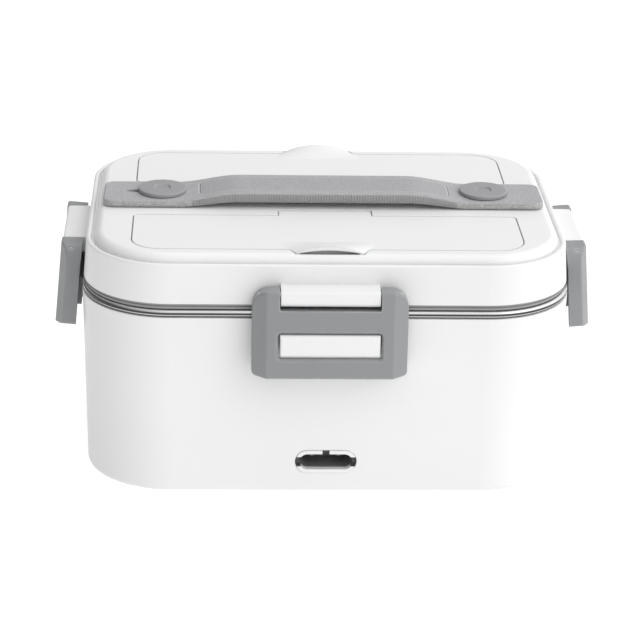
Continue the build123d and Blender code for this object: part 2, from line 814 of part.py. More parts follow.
tray_names = {-1: "front_tray", 1: "rear_tray"}
for facing, name in tray_names.items():
    with BuildPart() as tray:
        extrude(flap_outline(tray_bottom, well_wall - flap_seat, facing), amount=tray_top - tray_bottom)
        extrude(flap_outline(well_floor, -flap_seat, facing), amount=tray_top, mode=Mode.SUBTRACT)
        with BuildSketch(Plane.XY.offset(well_floor)) as vent_hole:
            with Locations(vent_place):
                Circle(vent_radius)
        extrude(vent_hole.sketch, amount=-well_wall, mode=Mode.SUBTRACT)
    tray.part.label = name
    export_step(tray.part, f"parts/{name}.step")

# ---------------------------------------------------------------- flaps and their pins


def lip_section(y, rise, half, bottom):
    """A cross-section of the lip at y: flat below, and arched above by rise."""
    plane = Plane(origin=(0, y, 0), x_dir=(1, 0, 0), z_dir=(0, -1, 0))
    with BuildSketch(plane) as section:
        with BuildLine():
            Line((-half, bottom), (half, bottom))
            Line((half, bottom), (half, plate_top))
            ThreePointArc((half, plate_top), (0, plate_top + rise), (-half, plate_top))
            Line((-half, plate_top), (-half, bottom))
        make_face()
    return section.sketch


flap_names = {-1: "front_flap", 1: "rear_flap"}
faded_rise = 0.05
under_fade_rise = 0.6
over_cut = 1.0

for facing, name in flap_names.items():
    with BuildPart() as flap:
        extrude(flap_outline(flap_bottom, 0, facing), amount=flap_thickness)
        tip = facing * lip_end
        faded = facing * (lip_end - lip_reach - lip_fade)
        lip_tip = lip_section(tip, lip_rise, lip_half, flap_bottom)
        lip_fade_end = lip_section(faded, faded_rise, lip_half + lip_flare, flap_bottom)
        loft([lip_tip, lip_fade_end])
        under_half = lip_half - lip_thickness
        under_bottom = flap_bottom - over_cut
        under_tip = lip_section(tip + facing * over_cut, lip_rise - lip_thickness, under_half, under_bottom)
        under_end = lip_section(facing * flap_front, under_fade_rise, under_half, under_bottom)
        loft([under_tip, under_end], mode=Mode.SUBTRACT)
        with BuildSketch(Plane.XY.offset(flap_bottom)) as tongue:
            with Locations((0, facing * (flap_back + hinge_offset) / 2)):
                Rectangle(hinge_length, flap_back - hinge_offset)
        extrude(tongue.sketch, amount=flap_thickness)
        with BuildSketch(Plane.YZ) as barrel:
            with Locations((facing * hinge_offset, flap_axis_height)):
                Circle(hinge_radius)
        extrude(barrel.sketch, amount=hinge_length / 2, both=True)
        with BuildSketch(Plane.YZ) as barrel_bore:
            with Locations((facing * hinge_offset, flap_axis_height)):
                Circle(hinge_pin_radius + running_gap)
        extrude(barrel_bore.sketch, amount=hinge_length / 2, both=True, mode=Mode.SUBTRACT)
    flap.part.label = name
    export_step(flap.part, f"parts/{name}.step")

    with BuildPart() as flap_pin:
        with BuildSketch(Plane.YZ) as pin_section:
            with Locations((facing * hinge_offset, flap_axis_height)):
                Circle(hinge_pin_radius)
        extrude(pin_section.sketch, amount=hinge_pin_half, both=True)
    flap_pin.part.label = f"{name}_pin"
    export_step(flap_pin.part, f"parts/{name}_pin.step")

# ---------------------------------------------------------------- vent grommet and lid screws

grommet_flange_radius = 4.8
grommet_flange = 1.2
grommet_bore = 1.2
grommet_bottom = lid_bottom - 1.0
with BuildPart() as vent_grommet:
    with BuildSketch(Plane.XY.offset(well_floor)):
        with Locations(vent_place):
            Circle(grommet_flange_radius)
    extrude(amount=grommet_flange)
    with BuildSketch(Plane.XY.offset(well_floor)):
        with Locations(vent_place):
            Circle(vent_radius - running_gap)
    extrude(amount=grommet_bottom - well_floor)
    with BuildSketch(Plane.XY.offset(well_floor + grommet_flange)):
        with Locations(vent_place):
            Circle(grommet_bore)
    extrude(amount=grommet_bottom - well_floor - grommet_flange, mode=Mode.SUBTRACT)

vent_grommet.part.label = "vent_grommet"
export_step(vent_grommet.part, "parts/vent_grommet.step")

with BuildPart() as lid_screws:
    with BuildSketch(Plane.XY.offset(lid_bottom)):
        with Locations(*lid_post_places):
            Circle(screw_head_radius)
    extrude(amount=-screw_head_height)
    with BuildSketch(Plane.XY.offset(lid_bottom)):
        with Locations(*lid_post_places):
            Circle(screw_radius)
    extrude(amount=lid_screw_length)

lid_screws.part.label = "lid_screws"
export_step(lid_screws.part, "parts/lid_screws.step")

# ---------------------------------------------------------------- strap handle

mid_top = strap_top + strap_mid_rise
mid_bottom = mid_top - strap_mid_thickness
slot_width = 2 * (stud_radius + slot_clearance)
ends = {-1: "left", 1: "right"}

for hand, name in ends.items():
    with BuildPart() as strap_end:
        with BuildSketch(Plane.XY.offset(strap_bottom)) as end_outline:
            with Locations((hand * (strap_half_length + strap_end_limit) / 2, 0)):
                Rectangle(strap_half_length - strap_end_limit, strap_width)
            outer_corners = end_outline.vertices().sort_by(Axis.X)
            outer_corners = outer_corners[-2:] if hand > 0 else outer_corners[:2]
            fillet(outer_corners, radius=strap_end_corner)
            with Locations((hand * (stud_offset + strap_travel / 2), 0)):
                SlotCenterToCenter(strap_travel, slot_width, mode=Mode.SUBTRACT)
        extrude(amount=strap_thickness)
    strap_end.part.label = f"strap_{name}_end"
    export_step(strap_end.part, f"parts/strap_{name}_end.step")

    with BuildPart() as strap_bend:
        with BuildSketch(Plane.XZ) as bend_section:
            with BuildLine():
                Spline(
                    (hand * strap_end_limit, strap_top), (hand * strap_swell_end, mid_top),
                    tangents=((-hand, 0), (-hand, 0)),
                )
                Line((hand * strap_swell_end, mid_top), (hand * strap_grip_half, mid_top))
                Line((hand * strap_grip_half, mid_top), (hand * strap_grip_half, mid_bottom))
                Line((hand * strap_grip_half, mid_bottom), (hand * strap_swell_end, mid_bottom))
                Spline(
                    (hand * strap_swell_end, mid_bottom), (hand * strap_end_limit, strap_bottom),
                    tangents=((hand, 0), (hand, 0)),
                )
                Line((hand * strap_end_limit, strap_bottom), (hand * strap_end_limit, strap_top))
            make_face()
        extrude(amount=strap_width / 2, both=True)
    strap_bend.part.label = f"strap_{name}_bend"
    export_step(strap_bend.part, f"parts/strap_{name}_bend.step")

with BuildPart() as strap_grip:
    with BuildSketch(Plane.XY.offset(mid_bottom)):
        Rectangle(2 * strap_grip_half, strap_width)
    extrude(amount=strap_mid_thickness)

strap_grip.part.label = "strap_grip"
export_step(strap_grip.part, "parts/strap_grip.step")

button_bottom = strap_top + strap_seat
button_top = button_bottom + button_thickness
screw_hole_top = button_top - button_skin
for hand, name in ends.items():
    with BuildPart() as strap_button:
        with BuildSketch(Plane.XY.offset(button_bottom)):
            with Locations((hand * stud_offset, 0)):
                Circle(button_radius)
        extrude(amount=button_thickness)
        fillet(strap_button.faces().sort_by(Axis.Z)[-1].edges(), radius=button_edge)
        with BuildSketch(Plane.XY.offset(button_top)):
            with Locations((hand * stud_offset, 0)):
                RectangleRounded(button_recess, button_recess, button_recess_corner)
        extrude(amount=-button_recess_depth, taper=45, mode=Mode.SUBTRACT)
        with BuildSketch(Plane.XY.offset(plate_top)):
            with Locations((hand * stud_offset, 0)):
                Circle(stud_radius)
        extrude(amount=button_bottom - plate_top)
        with BuildSketch(Plane.XY.offset(plate_top)):
            with Locations((hand * stud_offset, 0)):
                Circle(screw_radius + running_gap)
        extrude(amount=screw_hole_top - plate_top, mode=Mode.SUBTRACT)
    strap_button.part.label = f"strap_button_{name}"
    export_step(strap_button.part, f"parts/strap_button_{name}.step")

stud_post_bottom = plate_top - plate_wall - stud_post_height
with BuildPart() as strap_screws:
    with BuildSketch(Plane.XY.offset(stud_post_bottom)):
        with Locations((-stud_offset, 0), (stud_offset, 0)):
            Circle(screw_head_radius)
    extrude(amount=-screw_head_height)
    with BuildSketch(Plane.XY.offset(stud_post_bottom)):
        with Locations((-stud_offset, 0), (stud_offset, 0)):
            Circle(screw_radius)
    extrude(amount=stud_screw_length)

strap_screws.part.label = "strap_screws"
export_step(strap_screws.part, "parts/strap_screws.step")

# ---------------------------------------------------------------- latches and their pins

latch_back = latch_face_out - latch_depth
half_width = latch_width / 2
half_face = latch_face_width / 2
rib_top = window_top - rib_lead
rib_x = window_length / 2 + rib_gap + rib_thickness / 2
rib_middle = -rib_top - rib_length / 2
rib_back = (rib_clearance - hinge_out - rib_top * sin(radians(latch_tilt))) / cos(radians(latch_tilt))
foot_rounds = (latch_foot_bend, latch_foot_bend, latch_foot_corner)
face_rounds = (latch_arris, latch_arris, latch_arris, latch_arris)


def across(plane, y):
    """The plane across a latch at height y of its own plane: x along the wall, y outward, normal down."""
    origin = plane.from_local_coords((0, y, 0))
    return Plane(origin=origin, x_dir=plane.x_dir, z_dir=-plane.y_dir)


def along_top(plane, edge):
    """Whether an edge of a latch belongs to the top of its face, from one upper corner to the other."""
    box = plane.to_local_coords(edge).bounding_box()
    on_top = box.min.Y > latch_above - latch_corner - 0.1
    on_face = box.min.Z > latch_face_out - latch_bevel - 1.0
    return on_top and on_face


for side in sides:
    plane = latch_plane(side)
    with BuildPart() as latch:
        # Front outline, then the bevelled section across it, then the round along the top of the face
        with BuildSketch(plane.offset(latch_back)) as front:
            with BuildLine():
                FilletPolyline(
                    (-half_face, -latch_below),
                    (half_face, -latch_below),
                    (half_width, -latch_below + latch_foot_rise),
                    (half_width, latch_above),
                    (-half_width, latch_above),
                    (-half_width, -latch_below + latch_foot_rise),
                    radius=foot_rounds + (latch_corner, latch_corner, latch_foot_corner),
                    close=True,
                )
            make_face()
        extrude(front.sketch, amount=latch_depth)
        with BuildSketch(across(plane, latch_above)) as section:
            with BuildLine():
                FilletPolyline(
                    (-half_width, latch_back),
                    (half_width, latch_back),
                    (half_width, latch_face_out - latch_bevel),
                    (half_face, latch_face_out),
                    (-half_face, latch_face_out),
                    (-half_width, latch_face_out - latch_bevel),
                    radius=(0.4, 0.4) + face_rounds,
                    close=True,
                )
            make_face()
        extrude(section.sketch, amount=latch_above + latch_below, mode=Mode.INTERSECT)
        top_edges = latch.edges().filter_by(lambda edge: along_top(plane, edge))
        fillet(top_edges, radius=latch_top_round)
        # Hollow behind the face, with a shallow lip along the bottom
        inner_width = half_width - latch_wall
        inner_face = latch_face_out - latch_wall
        with BuildSketch(across(plane, -arm_solid)) as hollow:
            with BuildLine():
                Polyline(
                    (-inner_width, latch_back - 1),
                    (inner_width, latch_back - 1),
                    (inner_width, inner_face - latch_bevel + 1.0),
                    (half_face - 1.0, inner_face),
                    (1.0 - half_face, inner_face),
                    (-inner_width, inner_face - latch_bevel + 1.0),
                    close=True,
                )
            make_face()
        extrude(hollow.sketch, amount=latch_below - latch_wall - arm_solid, mode=Mode.SUBTRACT)
        with BuildSketch(across(plane, -latch_below + latch_wall)) as behind_lip:
            with Locations((0, (latch_back - 1 + latch_face_out - latch_lip_depth) / 2)):
                Rectangle(2 * inner_width, latch_depth - latch_lip_depth + 1)
        extrude(behind_lip.sketch, amount=latch_wall + 1, mode=Mode.SUBTRACT)
        # Recess around the boss, and the window around the catch lug
        with BuildSketch(plane.offset(latch_back - 1)) as cuts:
            recess_height = latch_above + crossbar_top + latch_corner
            with Locations((0, recess_height / 2 - crossbar_top)):
                RectangleRounded(boss_length + 2 * latch_gap, recess_height, 0.8)
            with Locations((0, -window_middle)):
                RectangleRounded(window_length, window_height, window_corner)
        extrude(cuts.sketch, amount=latch_depth + 2, mode=Mode.SUBTRACT)
        with BuildSketch(plane.offset(latch_face_out - window_bevel)) as window_edge:
            with Locations((0, -window_middle)):
                RectangleRounded(window_length, window_height, window_corner)
        extrude(window_edge.sketch, amount=2 * window_bevel, taper=-45, mode=Mode.SUBTRACT)
        # Ribs beside the catch lug
        with BuildSketch(plane.offset(rib_back)) as ribs:
            with Locations((-rib_x, rib_middle), (rib_x, rib_middle)):
                Rectangle(rib_thickness, rib_length)
        extrude(ribs.sketch, amount=latch_face_out - latch_wall / 2 - rib_back)
        pin_hole(side, latch_pin_length / 2 + 0.1)
    latch.part.label = f"latch_{side}"
    export_step(latch.part, f"parts/latch_{side}.step")

    with BuildPart() as latch_pin:
        with BuildSketch(section_plane(side, hinge_out, hinge_height)) as pin_circle:
            Circle(latch_pin_radius)
        extrude(pin_circle.sketch, amount=latch_pin_length / 2, both=True)
    latch_pin.part.label = f"latch_pin_{side}"
    export_step(latch_pin.part, f"parts/latch_pin_{side}.step")
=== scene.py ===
import math

import bmesh
import bpy
from mathutils import Matrix, Vector


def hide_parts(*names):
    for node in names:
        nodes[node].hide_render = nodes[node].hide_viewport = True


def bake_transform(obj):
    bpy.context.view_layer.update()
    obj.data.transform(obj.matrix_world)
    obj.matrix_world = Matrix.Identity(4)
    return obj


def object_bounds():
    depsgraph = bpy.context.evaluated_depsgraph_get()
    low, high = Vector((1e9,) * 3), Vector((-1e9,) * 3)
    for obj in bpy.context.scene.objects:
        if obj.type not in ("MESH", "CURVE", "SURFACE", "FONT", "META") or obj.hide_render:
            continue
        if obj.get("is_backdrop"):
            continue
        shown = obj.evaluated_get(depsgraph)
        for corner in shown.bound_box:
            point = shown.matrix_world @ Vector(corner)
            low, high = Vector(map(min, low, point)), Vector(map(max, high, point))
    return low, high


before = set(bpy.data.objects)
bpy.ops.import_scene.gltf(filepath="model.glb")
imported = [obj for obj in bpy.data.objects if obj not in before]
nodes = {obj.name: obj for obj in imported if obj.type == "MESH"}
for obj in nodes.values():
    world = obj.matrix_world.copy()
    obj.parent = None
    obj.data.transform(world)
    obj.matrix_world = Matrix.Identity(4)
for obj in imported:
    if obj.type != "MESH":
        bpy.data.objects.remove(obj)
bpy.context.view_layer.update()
MM = 0.001
scene = bpy.context.scene

# ---------------------------------------------------------------- camera, at the photograph's viewing angle

AZIMUTH, ELEVATION, ROLL = math.radians(-2.85), math.radians(21.86), math.radians(1.36)
TARGET = Vector((-0.1, 0.0, 52.17)) * MM
DISTANCE = 1130.24 * MM
SENSOR_WIDTH = 36.0
FOCAL_PIXELS, PICTURE_PIXELS = 2421.98, 640

back = Vector((
    math.sin(AZIMUTH) * math.cos(ELEVATION),
    -math.cos(AZIMUTH) * math.cos(ELEVATION),
    math.sin(ELEVATION),
))
right = Vector((0, 0, 1)).cross(back).normalized()
up = back.cross(right)
camera_right = right * math.cos(ROLL) + up * math.sin(ROLL)
camera_up = up * math.cos(ROLL) - right * math.sin(ROLL)
turn = Matrix((camera_right, camera_up, back)).transposed().to_4x4()
camera = bpy.data.objects.new("camera", bpy.data.cameras.new("camera"))
camera.matrix_world = Matrix.Translation(TARGET + back * DISTANCE) @ turn
camera.data.sensor_width = SENSOR_WIDTH
camera.data.lens = SENSOR_WIDTH * FOCAL_PIXELS / PICTURE_PIXELS
camera.data.clip_start, camera.data.clip_end = 0.05, 20.0
scene.collection.objects.link(camera)
scene.camera = camera


# ---------------------------------------------------------------- material helpers


class Shader:
    """A material's node tree, with short calls for the nodes used here."""

    def __init__(self, name):
        self.material = bpy.data.materials.new(name)
        self.material.use_nodes = True
        self.tree = self.material.node_tree
        self.tree.nodes.clear()
        self.output = self.tree.nodes.new("ShaderNodeOutputMaterial")
        self.surface = self.tree.nodes.new("ShaderNodeBsdfPrincipled")
        self.tree.links.new(self.surface.outputs[0], self.output.inputs["Surface"])
        self.place = self.tree.nodes.new("ShaderNodeTexCoord").outputs["Object"]

    def put(self, socket, value):
        if isinstance(value, bpy.types.NodeSocket):
            self.tree.links.new(value, socket)
        else:
            socket.default_value = value

    def set(self, name, value):
        if isinstance(value, tuple) and len(value) == 3 and name not in ("Normal", "Tangent"):
            value = value + (1.0,)
        self.put(self.surface.inputs[name], value)

    def math(self, operation, a, b=0.0, c=0.0):
        node = self.tree.nodes.new("ShaderNodeMath")
        node.operation = operation
        for socket, value in zip(node.inputs, (a, b, c)):
            self.put(socket, value)
        return node.outputs[0]

    def axes(self):
        node = self.tree.nodes.new("ShaderNodeSeparateXYZ")
        self.put(node.inputs[0], self.place)
        return node.outputs

    def band(self, value, low, high, soft):
        """1 where the value lies between low and high, falling to 0 over soft."""
        rise = self.ranged(value, low - soft, low + soft, 0.0, 1.0, smooth=True)
        fall = self.ranged(value, high - soft, high + soft, 1.0, 0.0, smooth=True)
        return self.math("MULTIPLY", rise, fall)

    def scaled(self, x, y, z):
        node = self.tree.nodes.new("ShaderNodeMapping")
        self.put(node.inputs["Vector"], self.place)
        self.put(node.inputs["Scale"], (x, y, z))
        return node.outputs[0]

    def noise(self, scale, detail=2.0, rough=0.5, place=None, distortion=0.0):
        node = self.tree.nodes.new("ShaderNodeTexNoise")
        self.put(node.inputs["Vector"], place or self.place)
        self.put(node.inputs["Scale"], scale)
        self.put(node.inputs["Detail"], detail)
        self.put(node.inputs["Roughness"], rough)
        self.put(node.inputs["Distortion"], distortion)
        return node.outputs[0]

    def cells(self, scale, feature="F1", output="Distance", smooth=None, place=None):
        node = self.tree.nodes.new("ShaderNodeTexVoronoi")
        node.feature = feature
        self.put(node.inputs["Vector"], place or self.place)
        self.put(node.inputs["Scale"], scale)
        if smooth is not None:
            self.put(node.inputs["Smoothness"], smooth)
        return node.outputs[output]

    def ranged(self, value, low, high, to_low, to_high, smooth=False):
        node = self.tree.nodes.new("ShaderNodeMapRange")
        node.interpolation_type = "SMOOTHSTEP" if smooth else "LINEAR"
        for socket, v in zip(node.inputs, (value, low, high, to_low, to_high)):
            self.put(socket, v)
        return node.outputs[0]

    def blend(self, amount, a, b, kind="MIX"):
        node = self.tree.nodes.new("ShaderNodeMix")
        node.data_type = "RGBA"
        node.blend_type = kind
        self.put(node.inputs[0], amount)
        for socket, value in ((node.inputs[6], a), (node.inputs[7], b)):
            if isinstance(value, tuple) and len(value) == 3:
                value = value + (1.0,)
            self.put(socket, value)
        return node.outputs[2]

    def shade(self, color, amount):
        """The colour times a varying number."""
        node = self.tree.nodes.new("ShaderNodeVectorMath")
        node.operation = "SCALE"
        self.put(node.inputs[0], color)
        self.put(node.inputs["Scale"], amount)
        return node.outputs[0]

    def bump(self, height, depth, strength=1.0, normal=None):
        node = self.tree.nodes.new("ShaderNodeBump")
        self.put(node.inputs["Strength"], strength)
        self.put(node.inputs["Distance"], depth)
        self.put(node.inputs["Height"], height)
        if normal is not None:
            self.put(node.inputs["Normal"], normal)
        return node.outputs[0]

    def soft_edges(self, radius):
        node = self.tree.nodes.new("ShaderNodeBevel")
        node.samples = 6
        self.put(node.inputs["Radius"], radius)
        return node.outputs[0]

    def edge_mask(self, radius):
        """1 along convex and concave edges, 0 on open surface."""
        rounded = self.soft_edges(radius)
        geometry = self.tree.nodes.new("ShaderNodeNewGeometry")
        node = self.tree.nodes.new("ShaderNodeVectorMath")
        node.operation = "DOT_PRODUCT"
        self.put(node.inputs[0], rounded)
        self.put(node.inputs[1], geometry.outputs["Normal"])
        return self.ranged(node.outputs["Value"], 0.995, 0.8, 0.0, 1.0)


def moulded(name, color, roughness, grain=0.05, grain_scale=1400.0, edge=0.35, tone=0.03, wear_and_highlight=0.0):
    """Moulded plastic: fine grain, a slow change of tone, soft edges, and, when asked, a painted highlight:
    edges painted a little lighter, broken up by noise.
    """
    s = Shader(name)
    slow = s.noise(14.0, 3.0, 0.55)
    value = s.ranged(slow, 0.3, 0.7, 1.0 - tone, 1.0 + tone)
    tinted = s.shade(color, value)
    if wear_and_highlight:
        # Painted highlight: the edges are painted lighter in the base colour, in patches
        mask = s.edge_mask(edge * 2.2 * MM)
        painted_edge_highlight = s.math("MULTIPLY", mask, s.ranged(s.noise(160.0, 4.0), 0.35, 0.65, 0.4, 1.0))
        highlight_colour = tuple(min(1.0, c * (1.0 + wear_and_highlight)) for c in color)
        tinted = s.blend(painted_edge_highlight, tinted, highlight_colour)
    s.set("Base Color", tinted)
    s.set("Roughness", s.ranged(s.noise(60.0, 4.0, 0.6), 0.3, 0.7, roughness - 0.05, roughness + 0.05))
    s.set("Specular IOR Level", 0.5)
    s.set("Normal", s.bump(s.noise(grain_scale, 2.0, 0.5), grain * MM, 0.6, s.soft_edges(edge * MM)))
    return s


def brushed(name, color, roughness, streak=(1.0, 1.0, 1.0), depth=0.02, metal=1.0):
    """Brushed metal: long fine scratches along the axis with the smallest scale, and faint handling marks."""
    s = Shader(name)
    lines = s.noise(1.0, 3.0, 0.6, s.scaled(*streak))
    s.set("Base Color", s.shade(color, s.ranged(lines, 0.3, 0.7, 0.93, 1.05)))
    s.set("Metallic", metal)
    marks = s.noise(45.0, 4.0, 0.6)
    rough = s.ranged(lines, 0.3, 0.7, roughness - 0.05, roughness + 0.08)
    s.set("Roughness", s.math("ADD", rough, s.ranged(marks, 0.45, 0.75, 0.0, 0.08)))
    s.set("Normal", s.bump(lines, depth * MM, 0.5, s.soft_edges(0.2 * MM)))
    return s


def dress(names, shader):
    """Gives a material to CAD nodes."""
    for name in names:
        mesh = nodes[name].data
        mesh.materials.clear()
        mesh.materials.append(shader.material)


# ---------------------------------------------------------------- materials

WHITE = (0.79, 0.79, 0.792)
housing_white = moulded(
    "housing_white", WHITE, 0.36,
    grain=0.03, grain_scale=1100.0, edge=0.5, tone=0.012,
)
lid_white = moulded("lid_white", WHITE, 0.34, grain=0.03, grain_scale=1100.0, edge=0.45, tone=0.012)
inner_white = moulded(
    "inner_white", (0.74, 0.74, 0.73), 0.45,
    grain=0.05, grain_scale=800.0, edge=0.4, tone=0.02,
)
latch_grey = moulded(
    "latch_grey", (0.245, 0.25, 0.255), 0.40,
    grain=0.06, grain_scale=1800.0, edge=0.6, tone=0.03, wear_and_highlight=0.8,
)
button_grey = moulded(
    "button_grey", (0.275, 0.275, 0.283), 0.36,
    grain=0.05, grain_scale=1500.0, edge=0.45, tone=0.03, wear_and_highlight=0.35,
)
silicone = moulded(
    "silicone", (0.30, 0.30, 0.305), 0.55,
    grain=0.08, grain_scale=700.0, edge=0.3, tone=0.05,
)
foot_rubber = moulded(
    "foot_rubber", (0.42, 0.42, 0.42), 0.7,
    grain=0.12, grain_scale=600.0, edge=0.3, tone=0.06,
)
socket_black = moulded(
    "socket_black", (0.19, 0.19, 0.195), 0.34,
    grain=0.02, grain_scale=900.0, edge=0.2, tone=0.1,
)
bakelite = moulded(
    "bakelite", (0.05, 0.035, 0.028), 0.4,
    grain=0.08, grain_scale=500.0, edge=0.3, tone=0.12,
)
wire_red = moulded(
    "wire_red", (0.45, 0.03, 0.025), 0.5,
    grain=0.06, grain_scale=900.0, edge=0.1, tone=0.06,
)


# Places on the model that these two materials follow, in millimetres
INLET_FRONT, INLET_HEIGHT, BEAD_HEIGHT = -79.27, 16.4, 86.65
KEY_HALF_WIDTH, KEY_START, END_KEY_HALF_HEIGHT, END_KEY_START = 1.75, 3.2, 2.5, 11.0


def inlet_white():
    """The inlet's frame: glossy white, with painted shade: the faces of its three keyways behind the front
    edge are painted dark.
    """
    s = moulded(
        "inlet_white", (0.80, 0.80, 0.80), 0.22,
        grain=0.015, grain_scale=900.0, edge=0.35, tone=0.01,
    )
    x, y, z = s.axes()
    across = s.math("ABSOLUTE", s.math("MULTIPLY", x, 1.0 / MM))
    height = s.math("MULTIPLY", z, 1.0 / MM)
    deep = s.ranged(s.math("MULTIPLY", y, 1.0 / MM), INLET_FRONT + 0.35, INLET_FRONT + 0.9, 0.0, 1.0)
    narrow = s.math("LESS_THAN", across, KEY_HALF_WIDTH)
    top_key = s.math("MULTIPLY", narrow, s.math("GREATER_THAN", height, INLET_HEIGHT + KEY_START))
    off_middle = s.math("ABSOLUTE", s.math("SUBTRACT", height, INLET_HEIGHT))
    beside = s.math("LESS_THAN", off_middle, END_KEY_HALF_HEIGHT)
    end_key = s.math("MULTIPLY", s.math("GREATER_THAN", across, END_KEY_START), beside)
    # Painted shade: keyway faces deeper than the front edge are painted near black
    painted_keyway_shade = s.math("MULTIPLY", s.math("MAXIMUM", top_key, end_key), deep)
    white = s.surface.inputs["Base Color"].links[0].from_socket
    s.set("Base Color", s.blend(painted_keyway_shade, white, (0.05, 0.05, 0.055)))
    return s


def rim_metal():
    """The container's polished steel, with a painted reflection: a dark band painted into the rolled rim
    between two bright ones, and a painted shade line lower down where the rim meets the housing.
    """
    s = brushed("rim_steel", (0.64, 0.64, 0.645), 0.2, (30.0, 30.0, 5200.0), 0.01)
    height = s.math("MULTIPLY", s.axes()[2], 1.0 / MM)
    # Painted reflection and painted shade: two dark bands painted into the steel's colour by height
    painted_reflection_band = s.band(height, BEAD_HEIGHT - 0.45, BEAD_HEIGHT + 0.5, 0.12)
    painted_gap_shade = s.band(height, BEAD_HEIGHT - 2.2, BEAD_HEIGHT - 1.25, 0.1)
    metal = s.surface.inputs["Base Color"].links[0].from_socket
    metal = s.blend(s.math("MULTIPLY", painted_reflection_band, 0.93), metal, (0.02, 0.02, 0.022))
    s.set("Base Color", s.blend(s.math("MULTIPLY", painted_gap_shade, 0.6), metal, (0.06, 0.06, 0.065)))
    return s


frame_white, rim_steel = inlet_white(), rim_metal()
plate_aluminium = brushed("plate_aluminium", (0.66, 0.66, 0.67), 0.38, (25.0, 1700.0, 25.0), 0.02)
heater_metal = brushed("heater_metal", (0.55, 0.55, 0.56), 0.42, (20.0, 900.0, 20.0), 0.02)
screw_steel = brushed("screw_steel", (0.52, 0.52, 0.53), 0.3, (900.0, 900.0, 60.0), 0.02)
pin_nickel = brushed("pin_nickel", (0.36, 0.35, 0.34), 0.3, (900.0, 40.0, 900.0), 0.01)

dress(["outer_housing"], housing_white)
dress(["lid_shell", "lid_top_plate", "front_tray", "rear_tray", "front_flap", "rear_flap"], lid_white)
dress(["bottom_cover", "inner_tub", "lid_inner_plate"], inner_white)
dress(["latch_front", "latch_back", "latch_left", "latch_right"], latch_grey)
dress(["strap_button_left", "strap_button_right"], button_grey)
dress(["sealing_ring", "vent_grommet"], silicone)
dress(["rubber_feet"], foot_rubber)
dress(["inlet_socket"], socket_black)
dress(["inlet_bezel"], frame_white)
dress(["thermostat"], bakelite)
dress(["internal_wires"], wire_red)
dress(["steel_container"], rim_steel)
dress(["heating_plate"], plate_aluminium)
dress(["heater_elements"], heater_metal)
dress(["heater_clamp", "thermal_fuse"], heater_metal)
dress(["cover_screws", "clamp_screws", "lid_screws", "strap_screws"], screw_steel)
dress(["front_flap_pin", "rear_flap_pin"], screw_steel)
dress(["latch_pin_front", "latch_pin_back", "latch_pin_left", "latch_pin_right"], screw_steel)
dress(["inlet_pins"], pin_nickel)


# ---------------------------------------------------------------- strap handle: leather top, knitted edge

STRAP_HALF = 99.9
STRAP_WIDTH = 28.0
CORNER = 5.0
SWELL_START, SWELL_END = 67.0, 38.0
STUD = 73.3
SLOT_RADIUS = 2.55
PANEL_HALF_LENGTH, PANEL_HALF_WIDTH, PANEL_CORNER = 56.6, 9.0, 4.0
LOW_BOTTOM, LOW_TOP = 112.1, 115.2
MID_BOTTOM, MID_TOP = 114.6, 119.0


def smooth(t):
    t = min(1.0, max(0.0, t))
    return t * t * (3.0 - 2.0 * t)


def strap_heights(x):
    """The strap's lower and upper face at a distance x from the middle, in millimetres."""
    t = smooth((SWELL_START - abs(x)) / (SWELL_START - SWELL_END))
    return LOW_BOTTOM + (MID_BOTTOM - LOW_BOTTOM) * t, LOW_TOP + (MID_TOP - LOW_TOP) * t


def strap_half_width(x):
    over = abs(x) - (STRAP_HALF - CORNER)
    half = STRAP_WIDTH / 2
    if over > 0:
        half -= CORNER - math.sqrt(max(0.0, CORNER * CORNER - over * over))
    return half


def strap_section(x, end_drop):
    """The closed section at x, as a list of points."""
    low, high = strap_heights(x)
    half = strap_half_width(x)
    thick = high - low
    round_top = min(1.1 + 0.5 * (thick - 3.1) / 1.3, thick / 2.4)
    round_low = 0.7
    points = []
    across = [-1.0 + 2.0 * i / 36 for i in range(37)]
    for s in across:
        points.append((s * (half - round_top), high - end_drop))
    for i in range(1, 6):
        a = math.radians(90.0 * i / 6)
        fall = round_top * (1 - math.cos(a))
        points.append((half - round_top + round_top * math.sin(a), high - end_drop - fall))
    side_top, side_low = high - round_top, low + round_low
    for i in range(5):
        t = i / 4
        bulge = 0.22 * math.sin(math.pi * t)
        points.append((half + bulge, side_top + (side_low - side_top) * t))
    for i in range(1, 4):
        a = math.radians(90.0 * i / 4)
        out = half - round_low + round_low * math.cos(a)
        points.append((out, low + round_low - round_low * math.sin(a)))
    for s in reversed(across[::3]):
        points.append((s * (half - round_low), low + end_drop * 0.6))
    for i in range(3, 0, -1):
        a = math.radians(90.0 * i / 4)
        out = half - round_low + round_low * math.cos(a)
        points.append((-out, low + round_low - round_low * math.sin(a)))
    for i in range(4, -1, -1):
        t = i / 4
        bulge = 0.22 * math.sin(math.pi * t)
        points.append((-(half + bulge), side_top + (side_low - side_top) * t))
    for i in range(5, 0, -1):
        a = math.radians(90.0 * i / 6)
        fall = round_top * (1 - math.cos(a))
        points.append((-(half - round_top + round_top * math.sin(a)), high - end_drop - fall))
    return points


